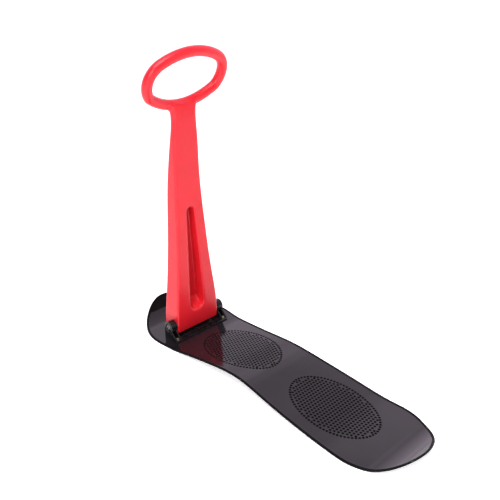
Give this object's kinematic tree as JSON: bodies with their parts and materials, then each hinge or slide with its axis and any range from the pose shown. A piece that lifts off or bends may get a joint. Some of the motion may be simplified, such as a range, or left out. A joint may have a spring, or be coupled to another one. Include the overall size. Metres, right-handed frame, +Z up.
{
  "type": "fold-up snow scooter",
  "caption": "Stand-on snow board with a cambered plastic deck, dotted foot grips and an upright folding handle with a closed grip ring.",
  "frame": {"origin": "on the ground below the middle of the board, the bottom centre of the bounding box with the handle up", "axes": "+X forward to the nose, along the board's length; +Y to the rider's left; +Z up"},
  "size_m": [0.914, 0.2534, 0.7803],
  "materials": {
    "board_black": "glossy black moulded polyethylene",
    "hinge_black": "satin black moulded plastic",
    "handle_red": "satin red blow-moulded polyethylene",
    "steel": "zinc-plated steel",
    "nylon_white": "natural nylon",
    "nylon_black": "black nylon"
  },
  "bodies": {
    "board": {"deck": "board_black", "hinge_base": "hinge_black", "base_screws": "steel", "base_washers": "steel", "base_nuts": "steel", "pivot_bolt": "steel", "pivot_nut": "steel", "pivot_washers": "steel", "pivot_sleeve": "steel", "friction_washer_left": "nylon_white", "friction_washer_right": "nylon_white"},
    "handle": {"handle_shell": "handle_red", "handle_bush_left": "nylon_black", "handle_bush_right": "nylon_black"}
  },
  "joints": [
    {"name": "handle_fold", "type": "hinge", "parent": "board", "child": "handle", "pos_m": [0.308, 0, 0.039], "axis": [0, -1, 0], "range_deg": [0, 87]}
  ]
}
